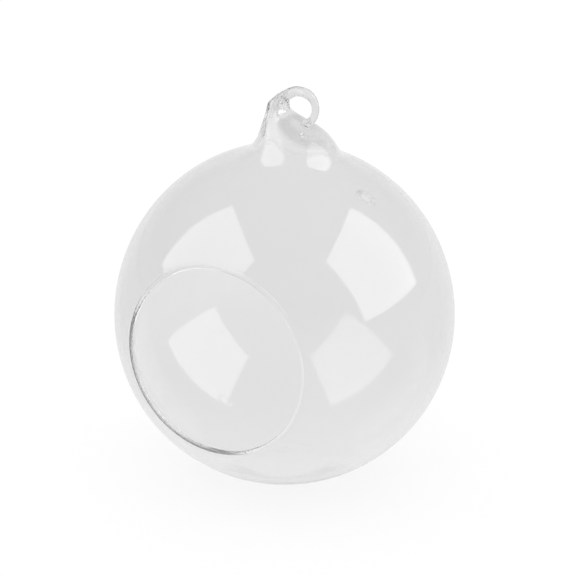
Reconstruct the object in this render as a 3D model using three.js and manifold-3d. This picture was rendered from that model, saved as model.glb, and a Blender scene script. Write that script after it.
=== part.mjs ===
// Glass globe terrarium: a hand-blown clear glass globe with a round side mouth, a small vent high on the
// opposite wall, a pressed flat foot, and a hollow neck whose pinched top is drawn out and curled into a loop.
// Millimetres, +Z up. The origin is the centre of the foot's underside, and the mouth faces -Y.

import * as THREE from "three";
import { mergeVertices } from "three/addons/utils/BufferGeometryUtils.js";
import Module from "manifold-3d";

// The globe
const globeRadius = 50; // outer radius at the widest ring, and of the lower half
const crownDraw = 1.2; // how much higher the drawn-up top reaches than a true half globe
const globeWall = 1.1;

// The pressed foot
const footRadius = 12;
const footThickness = 1.3;

// The side mouth
const mouthRadius = 27; // clear radius inside the lip
const lipRadius = 0.8; // half the thickness of the fire-polished lip
const lipBlend = 0.4; // length over which the wall thickens into the lip

// The vent
const ventHoleRadius = 1.9;
const ventLipRadius = 0.75;
const ventTurn = THREE.MathUtils.degToRad(7.4); // from +Y towards +X
const ventElevation = THREE.MathUtils.degToRad(30); // above the globe's widest ring

// The neck, with its heights counted up from the top of the crown
const neckRadius = 11.5;
const neckOffset = 3.3; // the neck stands this far to +X of the globe's axis
const neckWaist = 2.1; // height above which the neck draws in
const neckFlare = 1.2; // how much wider the neck is where it meets the crown
const neckWall = 1.6;
const neckRoof = 1.9; // solid glass between the neck's hollow and the loop's tail
const neckZone = 6; // how far the neck's part of the crown reaches out past the flare
const pinchDrop = 4.1; // the neck is pinched to the strand's depth this far below the eye's centre

// The handles of the neck's edge curves: leans are lengths, rises are shares of the height from waist to eye
const shoulderLean = 1;
const shoulderRise = 0.43;
const saddleLean = 0.75;
const saddleRise = 0.58;
const backLean = 1.3;
const backRise = 0.45;

// The hanging loop, a tapered strand round an open eye
const eyeRadius = 3.65;
const eyeOffset = 4.7; // of the eye's centre, to +X of the globe's axis
const eyeHeight = 12.75; // of the eye's centre, above the top of the crown
const strandHalfWidth = 3.1; // where the strand leaves the neck
const strandHalfDepth = 3.2;
const strandSquareness = 2.6; // of the section there, where 2 is an ellipse
const rodRadius = 1.25; // of the drawn-out end
const taperEnd = THREE.MathUtils.degToRad(90); // the strand has thinned to the rod at the loop's top
const taperPower = 2; // how soon it thins
const tailSink = 0.2; // how deep the tail's end has sunk into the shoulder

const seatClearance = 0.3;
const mergeDistance = 1e-4;

// How finely the round forms are divided
const globeSides = 64;
const halfRings = 9;
const footRings = 3;
const crownRings = 8;
const lipSides = 10;
const ventSides = 24;
const neckSides = 40;
const neckRings = 14;
const loopSides = 14;
const loopRings = 40;
const halvings = 30; // of an interval, where a place on a curve is searched for

// Places that follow from the sizes
const crownRise = globeRadius + crownDraw;
const centreHeight = Math.sqrt(globeRadius ** 2 - footRadius ** 2);
const crownHeight = centreHeight + crownRise;
const neckSeatRadius = neckOffset + neckRadius + neckFlare + neckZone;
const neckSeatRise = crownRise * Math.sqrt(1 - (neckSeatRadius / globeRadius) ** 2);
const neckSeatHeight = centreHeight + neckSeatRise;
const eyeCentreHeight = crownHeight + eyeHeight;
const eyeLeft = eyeOffset - eyeRadius;
const rodOrbit = eyeRadius + rodRadius;
const midWallRadius = globeRadius - globeWall / 2;
const lipCentreRadius = mouthRadius + lipRadius;
const lipCentreDepth = Math.sqrt(midWallRadius ** 2 - lipCentreRadius ** 2);
const shellFaceDepth = lipCentreDepth - lipRadius - lipBlend;

const wasm = await Module();
wasm.setup();

// A geometry as a solid that can be joined and cut
function solidOf(geometry) {
  const bare = geometry.clone();
  bare.deleteAttribute("normal");
  bare.deleteAttribute("uv");
  const merged = mergeVertices(bare, mergeDistance);
  const mesh = new wasm.Mesh({
    numProp: 3,
    vertProperties: merged.attributes.position.array,
    triVerts: new Uint32Array(merged.index.array),
  });
  return new wasm.Manifold(mesh);
}

// A solid back as a geometry
function geometryOf(solid) {
  const mesh = solid.getMesh();
  const geometry = new THREE.BufferGeometry();
  geometry.setAttribute("position", new THREE.BufferAttribute(mesh.vertProperties, 3));
  geometry.setIndex(new THREE.BufferAttribute(mesh.triVerts, 1));
  geometry.computeVertexNormals();
  return geometry;
}

// A clear glass mesh
function glassMesh(name, geometry) {
  const material = new THREE.MeshStandardMaterial({
    color: 0xe2e5e5,
    roughness: 0.03,
    metalness: 0,
    transparent: true,
    opacity: 0.35,
  });
  const mesh = new THREE.Mesh(geometry, material);
  mesh.name = name;
  return mesh;
}

// The place between two limits where a rising function passes zero
function crossing(low, high, rising) {
  for (let step = 0; step < halvings; step += 1) {
    const middle = (low + high) / 2;
    if (rising(middle) < 0) low = middle;
    else high = middle;
  }
  return (low + high) / 2;
}

// Points of the globe's wall, drawn in by inset, between two rises above its centre that lie on the same half.
// The upper half is a little taller than the lower one.
function globeArc(fromRise, toRise, inset, steps) {
  const upright = (fromRise + toRise > 0 ? crownRise : globeRadius) - inset;
  const across = globeRadius - inset;
  const from = Math.asin(fromRise / upright);
  const to = Math.asin(toRise / upright);
  const points = [];
  for (let step = 0; step <= steps; step += 1) {
    const turn = from + ((to - from) * step) / steps;
    points.push(new THREE.Vector2(across * Math.cos(turn), upright * Math.sin(turn)));
  }
  return points;
}

// A closed profile of radius and rise above the globe's centre, turned about the globe's upright axis
function turnedUpright(points) {
  const geometry = new THREE.LatheGeometry(points, globeSides);
  geometry.rotateX(Math.PI / 2);
  geometry.translate(0, 0, centreHeight);
  return geometry;
}

// Stretches the upper half of a geometry as the globe's upper half is stretched
function drawUp(geometry) {
  const position = geometry.attributes.position;
  for (let i = 0; i < position.count; i += 1) {
    const rise = position.getZ(i) - centreHeight;
    if (rise > 0) position.setZ(i, centreHeight + (rise * crownRise) / globeRadius);
  }
  return geometry;
}

// A unit cylinder whose rings are placed one by one: place(along, turn, reach) gives each point, where
// along runs from 0 to 1, turn is the angle round the ring, and reach is 1 on the ring and 0 at its centre
function placedRings(sides, rings, place) {
  const geometry = new THREE.CylinderGeometry(1, 1, 1, sides, rings);
  const position = geometry.attributes.position;
  for (let i = 0; i < position.count; i += 1) {
    const along = position.getY(i) + 0.5;
    const x = position.getX(i);
    const z = position.getZ(i);
    const turn = Math.atan2(-z, x);
    position.setXYZ(i, ...place(along, turn, Math.hypot(x, z)).toArray());
  }
  return geometry;
}

// A coordinate of a rounded section, from -1 to 1: squareness 2 is an ellipse, and more squares it up
function roundedShare(value, squareness) {
  return Math.sign(value) * Math.abs(value) ** (2 / squareness);
}

// A block that holds everything past a plane: the axis is x, y or z, and the side is 1 or -1
function everythingPast(axis, place, side) {
  const reach = 4 * globeRadius;
  const middle = new THREE.Vector3(0, 0, centreHeight);
  middle[axis] = place + (side * reach) / 2;
  const block = new THREE.BoxGeometry(reach, reach, reach);
  block.translate(middle.x, middle.y, middle.z);
  return solidOf(block);
}

// Turns a form made about +Z to point out of the wall at the vent, and seats it in the middle of the wall
function seatAtVent(geometry) {
  const direction = new THREE.Vector3(
    Math.sin(ventTurn) * Math.cos(ventElevation),
    Math.cos(ventTurn) * Math.cos(ventElevation),
    Math.sin(ventElevation),
  );
  const across = midWallRadius ** 2;
  const upright = (crownRise - globeWall / 2) ** 2;
  const distance = 1 / Math.sqrt((direction.x ** 2 + direction.y ** 2) / across + direction.z ** 2 / upright);
  const upAxis = new THREE.Vector3(0, 0, 1);
  geometry.applyQuaternion(new THREE.Quaternion().setFromUnitVectors(upAxis, direction));
  geometry.translate(direction.x * distance, direction.y * distance, centreHeight + direction.z * distance);
  return geometry;
}

// The blown globe, open at the foot, the mouth, the vent and the neck
function globeShell() {
  const footRise = footThickness - centreHeight;
  const wall = turnedUpright([
    ...globeArc(footRise, 0, 0, halfRings),
    ...globeArc(0, neckSeatRise, 0, halfRings).slice(1),
    ...globeArc(neckSeatRise, 0, globeWall, halfRings),
    ...globeArc(0, footRise, globeWall, halfRings).slice(1),
    ...globeArc(footRise, 0, 0, halfRings).slice(0, 1),
  ]);
  const ventReach = ventHoleRadius + 2 * ventLipRadius + seatClearance;
  const throughWall = 8 * globeWall;
  const ventCutter = new THREE.CylinderGeometry(ventReach, ventReach, throughWall, ventSides);
  ventCutter.rotateX(Math.PI / 2);
  const cut = solidOf(wall)
    .subtract(everythingPast("y", -shellFaceDepth, -1))
    .subtract(solidOf(seatAtVent(ventCutter)));
  return glassMesh("globe_shell", geometryOf(cut));
}

// The fire-polished lip, from the shell's cut face forward to its round edge
function mouthRim() {
  const outerSeat = Math.sqrt(globeRadius ** 2 - shellFaceDepth ** 2);
  const innerSeat = Math.sqrt((globeRadius - globeWall) ** 2 - shellFaceDepth ** 2);
  const profile = [new THREE.Vector2(innerSeat, -shellFaceDepth)];
  const outward = Math.atan2(-lipCentreDepth, lipCentreRadius);
  for (let step = 0; step <= lipSides; step += 1) {
    const turn = outward + Math.PI * (1 + step / lipSides);
    const radius = lipCentreRadius + lipRadius * Math.cos(turn);
    profile.push(new THREE.Vector2(radius, -lipCentreDepth + lipRadius * Math.sin(turn)));
  }
  profile.push(new THREE.Vector2(outerSeat, -shellFaceDepth));
  profile.push(profile[0].clone());
  const ring = new THREE.LatheGeometry(profile, globeSides);
  ring.translate(0, 0, centreHeight);
  return glassMesh("mouth_rim", drawUp(ring));
}

// The pressed flat bottom
function baseFoot() {
  const topRise = footThickness - centreHeight;
  const profile = [
    new THREE.Vector2(0, -centreHeight),
    ...globeArc(-centreHeight, topRise, 0, footRings),
    new THREE.Vector2(0, topRise),
  ];
  return glassMesh("base_foot", turnedUpright(profile));
}

// The vent's melted rim, a small glass ring in the hole
function ventRim() {
  const ring = new THREE.TorusGeometry(ventHoleRadius + ventLipRadius, ventLipRadius, lipSides, ventSides);
  return glassMesh("vent_rim", seatAtVent(ring));
}

// The neck's edges in the loop's plane, as curves of place along X and height above the crown
const neckDraw = eyeHeight - neckWaist;
const strandLeft = eyeLeft - 2 * strandHalfWidth;
const shoulderEdge = new THREE.CubicBezierCurve(
  new THREE.Vector2(neckOffset + neckRadius, neckWaist),
  new THREE.Vector2(neckOffset + neckRadius - shoulderLean, neckWaist + shoulderRise * neckDraw),
  new THREE.Vector2(eyeLeft - saddleLean, neckWaist + saddleRise * neckDraw),
  new THREE.Vector2(eyeLeft, eyeHeight),
);
const backEdge = new THREE.QuadraticBezierCurve(
  new THREE.Vector2(neckOffset - neckRadius, neckWaist),
  new THREE.Vector2(strandLeft - backLean, neckWaist + backRise * neckDraw),
  new THREE.Vector2(strandLeft, eyeHeight),
);

// Where an edge of the neck stands at a height above the crown
function placeAtHeight(edge, height) {
  return edge.getPoint(crossing(0, 1, (share) => edge.getPoint(share).y - height)).x;
}

// The neck's section at a height above the crown
function neckSection(height) {
  if (height <= neckWaist) {
    const radius = neckRadius + neckFlare * Math.min(1, (neckWaist - height) / neckWaist) ** 2;
    return { centre: neckOffset, halfWidth: radius, halfDepth: radius, squareness: 2 };
  }
  const right = placeAtHeight(shoulderEdge, height);
  const left = placeAtHeight(backEdge, height);
  const pinch = THREE.MathUtils.smoothstep(height, neckWaist, eyeHeight - pinchDrop);
  return {
    centre: (left + right) / 2,
    halfWidth: (right - left) / 2,
    halfDepth: THREE.MathUtils.lerp(neckRadius, strandHalfDepth, pinch),
    squareness: THREE.MathUtils.lerp(2, strandSquareness, pinch),
  };
}

function sectionPoint(section, turn, reach, height) {
  const x = section.centre + reach * section.halfWidth * roundedShare(Math.cos(turn), section.squareness);
  const y = reach * section.halfDepth * roundedShare(Math.sin(turn), section.squareness);
  return new THREE.Vector3(x, y, crownHeight + height);
}

// The centre of the thin rod when the strand has curled to an angle round the eye
function rodCentre(angle) {
  return new THREE.Vector2(eyeOffset + rodOrbit * Math.cos(angle), eyeHeight + rodOrbit * Math.sin(angle));
}

// How far the rod's centre then stands off the shoulder, less than zero once it is inside
function standOff(angle) {
  const centre = rodCentre(angle);
  const away = Math.min(...shoulderEdge.getPoints(neckSides).map((point) => point.distanceTo(centre)));
  return centre.x > placeAtHeight(shoulderEdge, centre.y) ? away : -away;
}

// The strand's tail ends where the rod comes down on the shoulder
const tailAngle = crossing(-Math.PI / 2, 0, (angle) => standOff(angle) - rodRadius + tailSink);

// The neck's outside, from below the crown's surface up to the strand's root
function neckBody() {
  const bottom = neckSeatHeight - crownHeight;
  const place = (along, turn, reach) => {
    const height = THREE.MathUtils.lerp(bottom, eyeHeight, along);
    return sectionPoint(neckSection(height), turn, reach, height);
  };
  return placedRings(neckSides, neckRings, place);
}

// The neck's hollow, which follows the outside a wall further in, with a domed top below the loop's tail
function neckHollow() {
  const bottom = 2 * (neckSeatHeight - crownHeight);
  const top = rodCentre(tailAngle).y - rodRadius - seatClearance - neckRoof;
  const domePower = 12;
  const domeFlat = 0.2;
  const place = (along, turn, reach) => {
    const height = THREE.MathUtils.lerp(bottom, top, along);
    const section = neckSection(height + neckRoof * along);
    const dome = Math.max(domeFlat, Math.sqrt(1 - along ** domePower));
    section.halfWidth = (section.halfWidth - neckWall) * dome;
    section.halfDepth = (section.halfDepth - neckWall) * dome;
    return sectionPoint(section, turn, reach, height);
  };
  return placedRings(neckSides, neckRings, place);
}

// The top of the globe above a height, solid
function crownCap(inset, fromHeight) {
  const arc = globeArc(fromHeight - centreHeight, crownRise - inset, inset, crownRings);
  return turnedUpright([new THREE.Vector2(0, fromHeight - centreHeight), ...arc]);
}

// A half width of the strand at an angle round the eye
function strandWidth(angle, thick, thin) {
  const share = THREE.MathUtils.clamp((angle - taperEnd) / (Math.PI - taperEnd), 0, 1);
  return thin + (thick - thin) * share ** taperPower;
}

// The strand curled round the eye, from the neck's joint on the left over the top to the tail, grown by extra
function curledStrand(extra) {
  const place = (along, turn, reach) => {
    const angle = THREE.MathUtils.lerp(Math.PI, tailAngle, along);
    const halfWidth = strandWidth(angle, strandHalfWidth, rodRadius);
    const halfDepth = strandWidth(angle, strandHalfDepth, rodRadius);
    const squareness = strandWidth(angle, strandSquareness, 2);
    const inward = reach * (halfWidth + extra) * roundedShare(Math.cos(turn), squareness);
    const out = eyeRadius + halfWidth - inward;
    const y = reach * (halfDepth + extra) * roundedShare(Math.sin(turn), squareness);
    return new THREE.Vector3(eyeOffset + out * Math.cos(angle), y, eyeCentreHeight + out * Math.sin(angle));
  };
  const tip = new THREE.SphereGeometry(rodRadius + extra, loopSides, loopSides / 2);
  const end = rodCentre(tailAngle);
  tip.translate(end.x, 0, crownHeight + end.y);
  return solidOf(placedRings(loopSides, loopRings, place)).add(solidOf(tip));
}

// The hollow neck with its zone of the crown, cut clear of the loop's tail
function neckShoulder() {
  const outside = solidOf(crownCap(0, neckSeatHeight)).add(solidOf(neckBody()));
  const inside = solidOf(crownCap(globeWall, neckSeatHeight - globeWall)).add(solidOf(neckHollow()));
  const tailSeat = curledStrand(seatClearance)
    .intersect(everythingPast("x", eyeOffset, 1))
    .intersect(everythingPast("z", eyeCentreHeight, -1));
  const neck = outside
    .subtract(inside)
    .subtract(everythingPast("z", neckSeatHeight, -1))
    .subtract(tailSeat);
  return glassMesh("neck_shoulder", geometryOf(neck));
}

// The strand that curls over into the hanging loop
function hangingLoop() {
  return glassMesh("hanging_loop", geometryOf(curledStrand(0)));
}

const terrarium = new THREE.Group();
terrarium.add(globeShell());
terrarium.add(mouthRim());
terrarium.add(baseFoot());
terrarium.add(ventRim());
terrarium.add(neckShoulder());
terrarium.add(hangingLoop());

export default terrarium;
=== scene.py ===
"""Glass globe terrarium: its fused glass body, the pale floor, the studio light and the camera. Metres."""

import math

import bpy
import numpy as np
import openvdb
from mathutils import Matrix, Vector


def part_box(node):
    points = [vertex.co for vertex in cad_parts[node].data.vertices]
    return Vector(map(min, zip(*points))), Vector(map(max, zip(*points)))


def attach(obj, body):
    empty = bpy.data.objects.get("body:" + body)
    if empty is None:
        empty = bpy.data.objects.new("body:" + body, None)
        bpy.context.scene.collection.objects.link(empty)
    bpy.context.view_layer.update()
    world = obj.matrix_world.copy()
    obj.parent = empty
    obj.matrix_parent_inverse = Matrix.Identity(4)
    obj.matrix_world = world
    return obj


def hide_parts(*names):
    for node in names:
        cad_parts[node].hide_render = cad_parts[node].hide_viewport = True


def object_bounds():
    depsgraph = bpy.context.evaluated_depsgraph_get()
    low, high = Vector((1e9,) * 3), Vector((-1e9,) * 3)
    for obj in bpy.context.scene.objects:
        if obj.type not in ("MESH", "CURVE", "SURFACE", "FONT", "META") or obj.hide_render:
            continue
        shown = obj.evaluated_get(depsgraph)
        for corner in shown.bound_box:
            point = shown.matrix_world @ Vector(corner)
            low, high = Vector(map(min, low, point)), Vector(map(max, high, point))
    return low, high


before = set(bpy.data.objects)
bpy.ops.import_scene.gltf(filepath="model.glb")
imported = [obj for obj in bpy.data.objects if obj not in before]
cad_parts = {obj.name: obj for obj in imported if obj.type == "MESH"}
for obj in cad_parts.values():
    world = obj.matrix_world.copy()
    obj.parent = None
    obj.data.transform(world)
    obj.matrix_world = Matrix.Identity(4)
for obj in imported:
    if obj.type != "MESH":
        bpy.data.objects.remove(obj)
cad_low, cad_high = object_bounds()

mm = 0.001

# Sizes that the frame gives
shell_low, shell_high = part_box("globe_shell")
_, foot_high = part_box("base_foot")
rim_low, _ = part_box("mouth_rim")
neck_low, neck_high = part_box("neck_shoulder")
loop_low, loop_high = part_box("hanging_loop")
vent_low, vent_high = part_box("vent_rim")

# The globe and its foot
globe_wall = 1.1 * mm
globe_radius = (shell_high.x - shell_low.x) / 2
foot_top = foot_high.z
inner_floor = foot_top - 0.4 * mm
centre_height = foot_top + math.sqrt(globe_radius**2 - foot_high.x**2)
globe_centre = Vector((0, 0, centre_height))
seat_radius = (neck_high.x - neck_low.x) / 2
crown_rise = (neck_low.z - centre_height) / math.sqrt(1 - (seat_radius / globe_radius) ** 2)
crown_height = centre_height + crown_rise

# The mouth's lip
lip_radius = 0.65 * mm
lip_inset = 0.14 * mm
lip_centre_depth = -rim_low.y - lip_radius - lip_inset
lip_centre_radius = math.sqrt((globe_radius - globe_wall / 2) ** 2 - lip_centre_depth**2)
mouth_angle = math.atan2(lip_centre_radius, lip_centre_depth)

# The vent, whose hole is cut from a little inside the globe outwards
vent_hole_radius = 1.9 * mm
vent_lip_radius = 0.75 * mm
vent_centre = (vent_low + vent_high) / 2
vent_axis = (vent_centre - globe_centre).normalized()
vent_reach = globe_radius / 4

# The loop. Its angles go round the eye from +X towards +Z, and its strand tapers from 180 degrees to taper_end
eye_radius = 3.65 * mm
orbit = 4.9 * mm
eye_x = loop_high.x - 2 * orbit + eye_radius
eye_z = loop_high.z - 2 * orbit + eye_radius
rod_radius = 1.45 * mm
strand_half_width = (eye_x - eye_radius - loop_low.x) / 2
strand_half_depth = loop_high.y
strand_squareness = 2.6
taper_end = math.radians(90)
taper_power = 3.3
levelling = 0.1
tail_angle = math.radians(-58)

# Where the rod is drawn thinner: by which share, round which angle, and the cosine at which that begins
rod_thinning = 0.24
thinnest_angle = math.radians(-5)
thinning_start = 0.3

# Where the strand's outer edge is lowered: by how much, round which angle, and the cosine at which that begins
edge_lowering = 0.25 * mm
lowest_angle = math.radians(105)
lowering_start = 0.5

# The heights between which the neck's section goes from round to squarish
waist_z = crown_height + 2.1 * mm
pinch_z = eye_z - 4.1 * mm

# The hollow in the strand, at the strand's root: its half width, half depth and shift outwards
hollow_half_width = 1.45 * mm
hollow_half_depth = 1.8 * mm
hollow_shift = 0.45 * mm
hollow_end = math.radians(108)
hollow_tip = 0.4 * mm
thinnest_hollow = 0.02 * mm

# How softly the melted zones run into one another
crown_blend = 5.5 * mm
hollow_blend = 6 * mm
lip_blend = 0.5 * mm
foot_blend = 5 * mm
edge_blend = 0.5 * mm
tail_blend = 0.8 * mm
root_blend = 2.4 * mm
root_fading = 4 * mm
fading_end = math.radians(240)

# The mesh: how it is set on the true surface, eased where it folds and split where it bends sharply
voxel_size = 0.5 * mm
triangle_count = 120000
slope_nudge = 0.01 * mm
settling_rounds = 4
least_steepness = 0.05
longest_step = 0.25 * mm
fold_rounds = 12
least_agreement = 0.6
split_rounds = 2
sharpest_bend = 12

# The glass's tint is painted shade and light: it goes from darker low to lighter high along the rise, is
# clearest towards one side as painted light, and is deepest in the loop
shaded_low_tint = 0.873
lit_high_tint = 0.947
shading_rise = 0.41, 0, 0.91
painted_light_tint = 1.0
painted_light_side = 0.3, -0.6, -0.7
painted_light_reach = 0.9
solid_tint = 0.84
solid_start = crown_height + 6 * mm

# The glass's surface, with the faint waves of blown glass
glass_roughness = 0.06
glass_ior = 1.5
wave_scale = 45
wave_detail = 1
wave_strength = 0.1
wave_height = 0.1 * mm

# The photograph's view: how far round to the right, how far up, and how far from the globe's centre
view_azimuth = math.radians(28)
view_elevation = math.radians(21)
view_distance = 0.7
sensor_width = 36
lens = 148.6
image_size = 576
shift_in_pixels = 3.4, 26.6

# The room. The photograph is cut out, white round the globe and light grey in its glass. So the camera
# sees white, and the glass sees these grey levels. The room begins between two elevations in degrees, and
# the backdrop fades out between two cosines of the angle from straight behind the globe
room_level = 0.67
room_low = 3
room_high = 20
backdrop_level = 0.81
backdrop_end = 0.82
backdrop_start = 0.95
room_light = 1.15

# The floor: its own colour, and the share of an even glow in what the camera and the glass see of it
floor_reach = 8
floor_gap = 0.05 * mm
floor_colour = 0.98
floor_level = 0.86
camera_glow = 0.85
glass_glow = 0.95

# The softboxes: place from the globe's centre, level edge, way they face, width, height and radiance
right_softbox = (0.408, 0.092, 0.282), (0.39, -0.92, 0), (-0.82, -0.35, -0.45), 0.478, 0.450, 1.69
left_softbox = (-0.238, -0.279, 0.331), (0.58, -0.81, -0.06), (0.71, 0.54, -0.46), 0.483, 0.436, 1.47

# Light goes to and fro many times in the solid loop and in the wall near the rim
most_bounces = 128


def smooth_min(a, b, blend):
    """The lower of two distances, with a fillet where they meet that runs out evenly."""
    nearness = np.maximum(1 - np.abs(a - b) / (1.5 * blend), 0)
    return np.minimum(a, b) - blend / 4 * nearness**3


def smooth_max(a, b, blend):
    """The higher of two distances, with the same fillet."""
    return -smooth_min(-a, -b, blend)


def smooth_step(value, low, high):
    """0 below low and 1 above high, and eased between them."""
    share = np.clip((value - low) / (high - low), 0, 1)
    return share * share * (3 - 2 * share)


def bezier(points, count=160):
    """Points along a Bezier curve."""
    share = np.linspace(0, 1, count)[:, None]
    level = [np.array([point]) for point in points]
    while len(level) > 1:
        level = [a * (1 - share) + b * share for a, b in zip(level, level[1:])]
    return level[0]


def rising(points):
    """A curve through places that are given in mm, the second of each above the globe's crown."""
    return bezier([(across * mm, crown_height + rise * mm) for across, rise in points])


def at_height(curve, z):
    """How far across a rising curve lies at each height."""
    return np.interp(z, curve[:, 1], curve[:, 0])


def section_distance(u, v, half_u, half_v, squareness):
    """How far a point lies outside a rounded section, along the line from the section's middle."""
    u = np.abs(u) + 1e-9
    v = np.abs(v) + 1e-9
    reach = ((u / half_u) ** squareness + (v / half_v) ** squareness) ** (1 / squareness)
    away = np.hypot(u, v)
    return away - away / reach


def ring_distance(along, away, along_centre, away_centre, radius):
    """How far a point lies outside a ring, from its places along and away from the ring's axis."""
    return np.hypot(along - along_centre, away - away_centre) - radius


def strand_width(angle, thick, thin):
    """A width that goes from thin at the taper's end to thick at the strand's root, and levels off there."""
    share = np.maximum((angle - taper_end) / (math.pi - taper_end), 0)
    over = np.clip(share - 1 + levelling, 0, 2 * levelling)
    share = np.minimum(share, 1 + levelling) - over**2 / (4 * levelling)
    return thin + (thick - thin) * share**taper_power


# The neck's edges in the loop's plane, as places along X and Z, and its half depth, as places along Y and Z
eye_left = eye_x - eye_radius
strand_left = eye_left - 2 * strand_half_width
eye_rise = (eye_z - crown_height) / mm
shoulder_edge = rising([(15.5, -3), (15.5, 1.5), (15.5, 6.2), (0.3, 8.3), (eye_left / mm, eye_rise)])
back_edge = rising([(-9, -3), (-9, 1), (-5.6, 5.2), (strand_left / mm, eye_rise)])
front_edge = rising([(12.4, -3), (12.4, 0.5), (11.6, 6), (3.4, 8.4), (strand_half_depth / mm, eye_rise)])

# The hollow's edges, which follow the neck up and to the left into the strand
strand_middle = (eye_left - strand_width(math.pi, strand_half_width, rod_radius) - hollow_shift) / mm
hollow_edges = strand_middle - hollow_half_width / mm, strand_middle + hollow_half_width / mm
hollow_right = rising([(14.3, -3), (14.3, 1.5), (13.5, 4.2), (-2.5, 4), (hollow_edges[1], eye_rise)])
hollow_left = rising([(-7.3, -3), (-7.3, 1), (-4.1, 5.5), (hollow_edges[0], eye_rise)])
hollow_front = rising([(11, -3), (11, 0.5), (10.6, 5.4), (2.4, 8), (hollow_half_depth / mm, eye_rise)])


def globe_distance(x, y, z, inset):
    """Distance outside the globe drawn in by inset. Its upper half is a little taller than its lower one."""
    rise = z - centre_height
    stretch = (crown_rise - inset) / (globe_radius - inset)
    rise = np.where(rise > 0, rise / stretch, rise)
    return np.sqrt(x * x + y * y + rise * rise) - (globe_radius - inset)


def neck_distance(x, y, z):
    """Distance outside the neck, round at its waist and squarish where it is pinched."""
    right = at_height(shoulder_edge, z)
    left = at_height(back_edge, z)
    half_depth = at_height(front_edge, z)
    squareness = 2 + (strand_squareness - 2) * smooth_step(z, waist_z, pinch_z)
    return section_distance(x - (left + right) / 2, y, (right - left) / 2, half_depth, squareness)


def hollow_distance(x, y, z):
    """Distance outside the neck's hollow, which runs on into the strand and tapers off there."""
    right = at_height(hollow_right, z)
    left = at_height(hollow_left, z)
    lower = section_distance(x - (left + right) / 2, y, (right - left) / 2, at_height(hollow_front, z), 2)
    angle = np.arctan2(z - eye_z, x - eye_x)
    thick = strand_width(angle, strand_half_width, rod_radius)
    taper = np.clip((angle - hollow_end) / (math.pi - hollow_end), 0, 1)
    half_width = np.maximum(hollow_half_width * taper, thinnest_hollow)
    half_depth = np.maximum(hollow_half_depth * taper, thinnest_hollow)
    out = np.hypot(x - eye_x, z - eye_z) - eye_radius - thick - hollow_shift * taper
    upper = section_distance(out, y, half_width, half_depth, 2) + np.maximum(hollow_tip - half_width, 0)
    upper = np.where(angle > hollow_end, upper, globe_radius)
    return np.where(z > eye_z, upper, lower)


def drawn_thinner(angle):
    """The share of its thickness that the rod keeps at an angle."""
    return 1 - rod_thinning * smooth_step(np.cos(angle - thinnest_angle), thinning_start, 1)


def strand_distance(x, y, z):
    """Distance outside the strand curled round the eye, thinnest at its far side, with its tail's round end."""
    angle = np.arctan2(z - eye_z, x - eye_x)
    angle = np.where(angle < -math.pi / 2, angle + 2 * math.pi, angle)
    half_width = strand_width(angle, strand_half_width, rod_radius)
    half_depth = strand_width(angle, strand_half_depth, rod_radius)
    squareness = strand_width(angle, strand_squareness, 2)
    outer = strand_width(angle, eye_radius + 2 * strand_half_width, orbit + rod_radius)
    outer = outer - edge_lowering * smooth_step(np.cos(angle - lowest_angle), lowering_start, 1)
    half_width = half_width * drawn_thinner(angle)
    half_depth = half_depth * drawn_thinner(angle)
    out = np.hypot(x - eye_x, z - eye_z) - outer + half_width
    curled = section_distance(out, y, half_width, half_depth, squareness)
    curled = curled + root_fading * smooth_step(angle, math.pi, fading_end)
    end_radius = rod_radius * drawn_thinner(tail_angle)
    end_reach = orbit + rod_radius - end_radius
    end_x = eye_x + end_reach * math.cos(tail_angle)
    end_z = eye_z + end_reach * math.sin(tail_angle)
    end = np.sqrt((x - end_x) ** 2 + y * y + (z - end_z) ** 2) - end_radius
    return np.where(angle < tail_angle, end, curled)


def top_distance(x, y, z):
    """Distance outside the neck and the loop, taken as solid."""
    neck = neck_distance(x, y, z)
    strand = strand_distance(x, y, z)
    curled = smooth_step(z, eye_z - root_blend, eye_z + root_blend)
    root = neck * (1 - curled) + strand * curled
    beside = np.where(z > eye_z, strand, smooth_min(neck, strand, tail_blend))
    return np.where(x < eye_x - eye_radius / 2, root, beside)


def with_neck(outside, inside, x, y, z):
    """The globe's outer and inner distances with the neck, the loop and the hollow melted in."""
    outside = smooth_min(outside, top_distance(x, y, z), crown_blend)
    inside = smooth_min(inside, hollow_distance(x, y, z), hollow_blend)
    return outside, inside


def with_mouth(glass, x, y, z):
    """The glass's distance with the mouth cut out by a cone and its lip melted on."""
    away = np.hypot(x, z - centre_height)
    glass = np.maximum(glass, -y * math.sin(mouth_angle) - away * math.cos(mouth_angle))
    lip = ring_distance(y, away, -lip_centre_depth, lip_centre_radius, lip_radius)
    return smooth_min(glass, lip, lip_blend)


def with_vent(glass, x, y, z):
    """The glass's distance with the vent's hole and its lip."""
    dx, dy, dz = x - vent_centre.x, y - vent_centre.y, z - vent_centre.z
    along = dx * vent_axis.x + dy * vent_axis.y + dz * vent_axis.z
    away = np.sqrt(np.maximum(dx * dx + dy * dy + dz * dz - along * along, 0))
    ring = vent_hole_radius + vent_lip_radius
    glass = np.maximum(glass, np.where(along > -vent_reach, ring - away, -globe_radius))
    return smooth_min(glass, ring_distance(along, away, 0, ring, vent_lip_radius), lip_blend)


def glass_distance(x, y, z):
    """Distance outside the glass, and less than zero inside it."""
    outside = globe_distance(x, y, z, 0)
    inside = globe_distance(x, y, z, globe_wall)
    top = z > neck_low.z - 2 * crown_blend
    if top.any():
        outside[top], inside[top] = with_neck(outside[top], inside[top], x[top], y[top], z[top])
    inside = smooth_max(inside, inner_floor - z, foot_blend)
    glass = with_mouth(np.maximum(outside, -inside), x, y, z)
    glass = with_vent(glass, x, y, z)
    return smooth_max(glass, -z, edge_blend)


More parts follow.
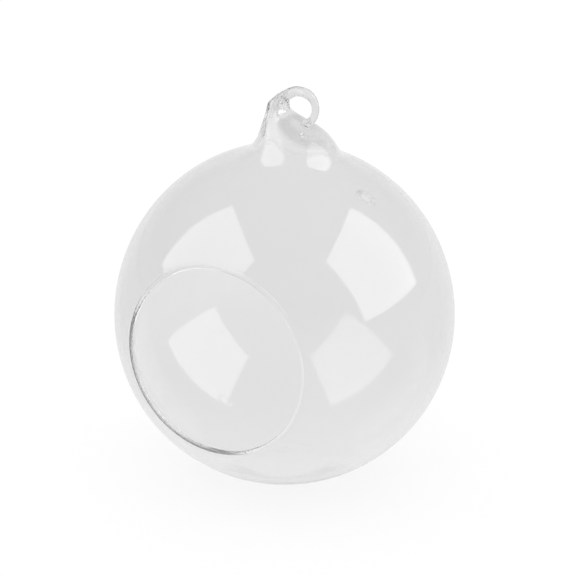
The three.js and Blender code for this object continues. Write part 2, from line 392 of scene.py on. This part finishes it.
def slope(points):
    """The distance's slope at each point."""
    slopes = []
    for axis in range(3):
        step = np.zeros(3)
        step[axis] = slope_nudge
        ahead = glass_distance(*(points + step).T)
        behind = glass_distance(*(points - step).T)
        slopes.append((ahead - behind) / (2 * slope_nudge))
    return np.array(slopes).T


def settled(points):
    """The points moved onto the true surface."""
    for _ in range(settling_rounds):
        steps = slope(points)
        steepness = np.maximum((steps**2).sum(1), least_steepness)
        shift = glass_distance(*points.T) / steepness
        points = points - np.clip(shift, -longest_step, longest_step)[:, None] * steps
    return points


def set_on_surface(points, triangles):
    """The points moved onto the true surface with folds eased out, and the surface's normals at them."""
    points = settled(points)
    normals = slope(points)
    for _ in range(fold_rounds):
        first, second, third = (points[triangles[:, index]] for index in range(3))
        facing = np.cross(second - first, third - first)
        wanted = normals[triangles].sum(1)
        agreement = (facing * wanted).sum(1)
        steepest = np.linalg.norm(facing, axis=1) * np.linalg.norm(wanted, axis=1)
        folded = agreement < least_agreement * steepest
        if not folded.any():
            break
        moving = np.zeros(len(points), bool)
        moving[triangles[folded].ravel()] = True
        total = np.zeros_like(points)
        count = np.zeros(len(points))
        for here, there in ((0, 1), (1, 2), (2, 0)):
            np.add.at(total, triangles[:, here], points[triangles[:, there]])
            np.add.at(count, triangles[:, here], 1)
        points[moving] = settled(total[moving] / count[moving][:, None])
        normals[moving] = slope(points[moving])
    return points, normals / np.linalg.norm(normals, axis=1)[:, None]


def distance_between(points, here, there):
    return np.linalg.norm(points[here] - points[there], axis=1)


def split_bends(points, triangles, normals):
    """Split each edge over which the surface turns by more than the sharpest bend."""
    pairs = np.sort(triangles[:, [[0, 1], [1, 2], [2, 0]]], axis=2).reshape(-1, 2)
    edges, place = np.unique(pairs, axis=0, return_inverse=True)
    agreement = (normals[edges[:, 0]] * normals[edges[:, 1]]).sum(1)
    turned = agreement < math.cos(math.radians(sharpest_bend))
    middles = np.full(len(edges), -1)
    middles[turned] = len(points) + np.arange(turned.sum())
    points = np.vstack([points, points[edges[turned]].mean(1)])
    middles = middles[place].reshape(-1, 3)
    splits = (middles >= 0).sum(1)
    pieces = [triangles[splits == 0]]
    for turn in range(3):
        a, b, c = np.roll(triangles, -turn, axis=1).T
        ab, bc, ca = np.roll(middles, -turn, axis=1).T
        once = (splits == 1) & (ab >= 0)
        pieces += [np.array(piece).T[once] for piece in ((a, ab, c), (ab, b, c))]
        twice = (splits == 2) & (ca < 0)
        near = distance_between(points, a, bc) < distance_between(points, ab, c)
        pieces.append(np.array((ab, b, bc)).T[twice])
        pieces += [np.array(piece).T[twice & near] for piece in ((a, ab, bc), (a, bc, c))]
        pieces += [np.array(piece).T[twice & ~near] for piece in ((a, ab, c), (ab, bc, c))]
    a, b, c = triangles[splits == 3].T
    ab, bc, ca = middles[splits == 3].T
    pieces += [np.array(piece).T for piece in ((a, ab, ca), (ab, b, bc), (ca, bc, c), (ab, bc, ca))]
    return points, np.vstack(pieces)


def gridded(voxel):
    """The glass's surface as points and quads, from its distances on a grid."""
    band = 3 * voxel
    low = np.array(cad_low) - band
    counts = np.ceil((np.array(cad_high) + band - low) / voxel).astype(int)
    axes = [low[axis] + voxel * np.arange(counts[axis]) for axis in range(3)]
    field = np.empty(counts, np.float32)
    slab = 12
    for start in range(0, counts[2], slab):
        x, y, z = np.meshgrid(axes[0], axes[1], axes[2][start:start + slab], indexing="ij")
        field[:, :, start:start + slab] = np.clip(glass_distance(x, y, z), -band, band)
    grid = openvdb.FloatGrid()
    grid.background = band
    grid.copyFromArray(field)
    points, quads = grid.convertToQuads(isovalue=0.0)
    return low + points.astype(float) * voxel, quads


def read_values(items, name, width, kind):
    """One of a mesh's lists as an array."""
    values = np.empty(width * len(items), kind)
    items.foreach_get(name, values)
    return values.reshape(-1, width)


def thinned_out(points, quads, face_count):
    """The mesh thinned out to about face_count triangles that face outwards, as points and triangles."""
    dense = bpy.data.meshes.new("dense_glass")
    dense.from_pydata(points.tolist(), [], quads.tolist())
    holder = bpy.data.objects.new("dense_glass", dense)
    bpy.context.scene.collection.objects.link(holder)
    thin = holder.modifiers.new("thin_out", "DECIMATE")
    thin.ratio = min(1, face_count / (2 * len(quads)))
    thin.use_collapse_triangulate = True
    graph = bpy.context.evaluated_depsgraph_get()
    thinned = bpy.data.meshes.new_from_object(holder.evaluated_get(graph))
    points = read_values(thinned.vertices, "co", 3, float)
    triangles = read_values(thinned.polygons, "vertices", 3, np.int32)
    facing = read_values(thinned.polygons, "normal", 3, float)
    if (facing * slope(points[triangles].mean(1))).sum() < 0:
        triangles = triangles[:, ::-1]
    bpy.data.objects.remove(holder)
    bpy.data.meshes.remove(dense)
    bpy.data.meshes.remove(thinned)
    return points, triangles


def glass_body(name):
    """The glass as one closed mesh, meshed on a grid, thinned out and settled onto the true surface."""
    points, quads = gridded(voxel_size)
    points, triangles = thinned_out(settled(points), quads, triangle_count)
    points, normals = set_on_surface(points, triangles)
    for _ in range(split_rounds):
        points, triangles = split_bends(points, triangles, normals)
        points, normals = set_on_surface(points, triangles)
    mesh = bpy.data.meshes.new(name)
    mesh.from_pydata(points.tolist(), [], triangles.tolist())
    mesh.polygons.foreach_set("use_smooth", [True] * len(mesh.polygons))
    mesh.normals_split_custom_set_from_vertices(normals.tolist())
    body = bpy.data.objects.new(name, mesh)
    bpy.context.scene.collection.objects.link(body)
    return body


def blend_colours(nodes, links, share, first, second):
    """A colour that goes from first to second. Each is a grey level or a socket."""
    mix = nodes.new("ShaderNodeMix")
    mix.data_type = "RGBA"
    links.new(share, mix.inputs["Factor"])
    sockets = [socket for socket in mix.inputs if socket.type == "RGBA"]
    for socket, colour in zip(sockets, (first, second)):
        if isinstance(colour, (int, float)):
            socket.default_value = (colour, colour, colour, 1)
        else:
            links.new(colour, socket)
    return [socket for socket in mix.outputs if socket.type == "RGBA"][0]


def eased(nodes, links, value, low, high, interpolation="SMOOTHSTEP"):
    """A value that goes from 0 at low to 1 at high."""
    node = nodes.new("ShaderNodeMapRange")
    node.interpolation_type = interpolation
    node.inputs["From Min"].default_value = low
    node.inputs["From Max"].default_value = high
    links.new(value, node.inputs["Value"])
    return node.outputs["Result"]


def dot_product(nodes, links, vector, direction):
    """The dot product of a vector socket and a fixed direction."""
    dot = nodes.new("ShaderNodeVectorMath")
    dot.operation = "DOT_PRODUCT"
    dot.inputs[1].default_value = direction
    links.new(vector, dot.inputs[0])
    return dot.outputs["Value"]


def lying_towards(nodes, links, place, direction, low, high, interpolation):
    """How far a place lies in a direction from the globe's centre: 0 at low and 1 at high, in globe radii."""
    direction = Vector(direction).normalized()
    middle = direction.z * centre_height
    value = dot_product(nodes, links, place, direction)
    return eased(nodes, links, value, middle + low * globe_radius, middle + high * globe_radius, interpolation)


def clear_glass():
    """Clear blown glass, its tint fitted to the photograph: painted shade makes it darker low down, painted
    light makes it clearest low in front, and it is deepest in the loop.
    """
    material = bpy.data.materials.new("clear_glass")
    material.use_nodes = True
    nodes = material.node_tree.nodes
    links = material.node_tree.links
    shader = nodes["Principled BSDF"]
    shader.inputs["Roughness"].default_value = glass_roughness
    shader.inputs["IOR"].default_value = glass_ior
    shader.inputs["Transmission Weight"].default_value = 1
    place = nodes.new("ShaderNodeTexCoord").outputs["Object"]
    # Painted shade and light: the tint is darker low down, lighter high up and clearest low in front
    shading_upwards = lying_towards(nodes, links, place, shading_rise, -1, 1, "LINEAR")
    painted_light_forwards = lying_towards(nodes, links, place, painted_light_side, 0, painted_light_reach, "SMOOTHSTEP")
    parts = nodes.new("ShaderNodeSeparateXYZ")
    links.new(place, parts.inputs["Vector"])
    solid = eased(nodes, links, parts.outputs["Z"], solid_start, eye_z)
    colour = blend_colours(nodes, links, shading_upwards, shaded_low_tint, lit_high_tint)
    colour = blend_colours(nodes, links, painted_light_forwards, colour, painted_light_tint)
    colour = blend_colours(nodes, links, solid, colour, solid_tint)
    links.new(colour, shader.inputs["Base Color"])
    waves = nodes.new("ShaderNodeTexNoise")
    waves.inputs["Scale"].default_value = wave_scale
    waves.inputs["Detail"].default_value = wave_detail
    links.new(place, waves.inputs["Vector"])
    bump = nodes.new("ShaderNodeBump")
    bump.inputs["Strength"].default_value = wave_strength
    bump.inputs["Distance"].default_value = wave_height
    links.new(waves.outputs["Fac"], bump.inputs["Height"])
    links.new(bump.outputs["Normal"], shader.inputs["Normal"])
    return material


def shown_rays(nodes, links):
    """Two values: 1 for rays straight from the camera, and 1 for these and the rays that the glass turns."""
    rays = nodes.new("ShaderNodeLightPath")
    from_camera = rays.outputs["Is Camera Ray"]
    shown = from_camera
    for name in ("Is Glossy Ray", "Is Transmission Ray"):
        both = nodes.new("ShaderNodeMath")
        both.operation = "ADD"
        both.use_clamp = True
        links.new(shown, both.inputs[0])
        links.new(rays.outputs[name], both.inputs[1])
        shown = both.outputs["Value"]
    return from_camera, shown


def pale_floor():
    """A pale matt floor under the globe, which catches its faint shadow. The glass sees it light grey."""
    reach = floor_reach
    mesh = bpy.data.meshes.new("floor")
    corners = [(-reach, -reach, 0), (reach, -reach, 0), (reach, reach, 0), (-reach, reach, 0)]
    mesh.from_pydata(corners, [], [(0, 1, 2, 3)])
    floor = bpy.data.objects.new("floor", mesh)
    floor.location.z = -floor_gap
    bpy.context.scene.collection.objects.link(floor)
    material = bpy.data.materials.new("pale_floor")
    material.use_nodes = True
    nodes = material.node_tree.nodes
    links = material.node_tree.links
    shader = nodes["Principled BSDF"]
    shader.inputs["Base Color"].default_value = (floor_colour, floor_colour, floor_colour, 1)
    shader.inputs["Roughness"].default_value = 1
    shader.inputs["Specular IOR Level"].default_value = 0
    from_camera, shown = shown_rays(nodes, links)
    glow = nodes.new("ShaderNodeEmission")
    glow.inputs["Strength"].default_value = 1
    links.new(blend_colours(nodes, links, from_camera, floor_level, 1.0), glow.inputs["Color"])
    share = nodes.new("ShaderNodeMath")
    share.operation = "MULTIPLY"
    links.new(shown, share.inputs[0])
    links.new(blend_colours(nodes, links, from_camera, glass_glow, camera_glow), share.inputs[1])
    mix = nodes.new("ShaderNodeMixShader")
    links.new(share.outputs["Value"], mix.inputs["Fac"])
    links.new(shader.outputs["BSDF"], mix.inputs[1])
    links.new(glow.outputs["Emission"], mix.inputs[2])
    links.new(mix.outputs["Shader"], nodes["Material Output"].inputs["Surface"])
    mesh.materials.append(material)


def softbox(name, offset, across, towards, width, height, radiance):
    """A rectangular soft light, seen in the glass only. Across is its level edge, towards the way it faces."""
    lamp = bpy.data.lights.new(name, "AREA")
    lamp.shape = "RECTANGLE"
    lamp.size = width
    lamp.size_y = height
    lamp.energy = radiance * math.pi * width * height
    light = bpy.data.objects.new(name, lamp)
    facing = Vector(towards).normalized()
    edge = Vector(across).normalized()
    up = facing.cross(edge)
    place = Matrix((edge, up.normalized(), -facing)).transposed().to_4x4()
    place.translation = globe_centre + Vector(offset)
    light.matrix_world = place
    light.visible_diffuse = False
    bpy.context.scene.collection.objects.link(light)


def studio():
    """White to the camera, and in the glass a light grey backdrop, a darker room above and two softboxes."""
    world = bpy.data.worlds.new("studio")
    world.use_nodes = True
    nodes = world.node_tree.nodes
    links = world.node_tree.links
    place = nodes.new("ShaderNodeTexCoord").outputs["Generated"]
    parts = nodes.new("ShaderNodeSeparateXYZ")
    links.new(place, parts.inputs["Vector"])
    room_from, room_to = (math.sin(math.radians(elevation)) for elevation in (room_low, room_high))
    above = eased(nodes, links, parts.outputs["Z"], room_from, room_to)
    behind = dot_product(nodes, links, place, (-math.sin(view_azimuth), math.cos(view_azimuth), 0))
    backdrop = eased(nodes, links, behind, backdrop_end, backdrop_start)
    from_camera, shown = shown_rays(nodes, links)
    seen = blend_colours(nodes, links, above, backdrop_level, room_level)
    seen = blend_colours(nodes, links, backdrop, seen, backdrop_level)
    seen = blend_colours(nodes, links, from_camera, seen, 1.0)
    background = nodes["Background"]
    links.new(blend_colours(nodes, links, shown, room_light, seen), background.inputs["Color"])
    background.inputs["Strength"].default_value = 1
    bpy.context.scene.world = world
    softbox("right_softbox", *right_softbox)
    softbox("left_softbox", *left_softbox)


def camera():
    """The photograph's view of the globe."""
    back = Vector((
        math.sin(view_azimuth) * math.cos(view_elevation),
        -math.cos(view_azimuth) * math.cos(view_elevation),
        math.sin(view_elevation),
    ))
    right = Vector((math.cos(view_azimuth), math.sin(view_azimuth), 0))
    data = bpy.data.cameras.new("camera")
    data.sensor_width = sensor_width
    data.lens = lens
    data.shift_x, data.shift_y = (pixels / image_size for pixels in shift_in_pixels)
    view = bpy.data.objects.new("camera", data)
    place = Matrix((right, back.cross(right), back)).transposed().to_4x4()
    place.translation = globe_centre + view_distance * back
    view.matrix_world = place
    bpy.context.scene.collection.objects.link(view)
    bpy.context.scene.camera = view


bpy.context.scene.cycles.max_bounces = most_bounces
bpy.context.scene.cycles.glossy_bounces = most_bounces
bpy.context.scene.cycles.transmission_bounces = most_bounces

camera()
studio()
pale_floor()
glass = glass_body("fused_glass")
glass.data.materials.append(clear_glass())
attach(glass, "root")
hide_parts("globe_shell", "mouth_rim", "base_foot", "neck_shoulder", "hanging_loop", "vent_rim")

bpy.context.scene.view_settings.view_transform = "Standard"
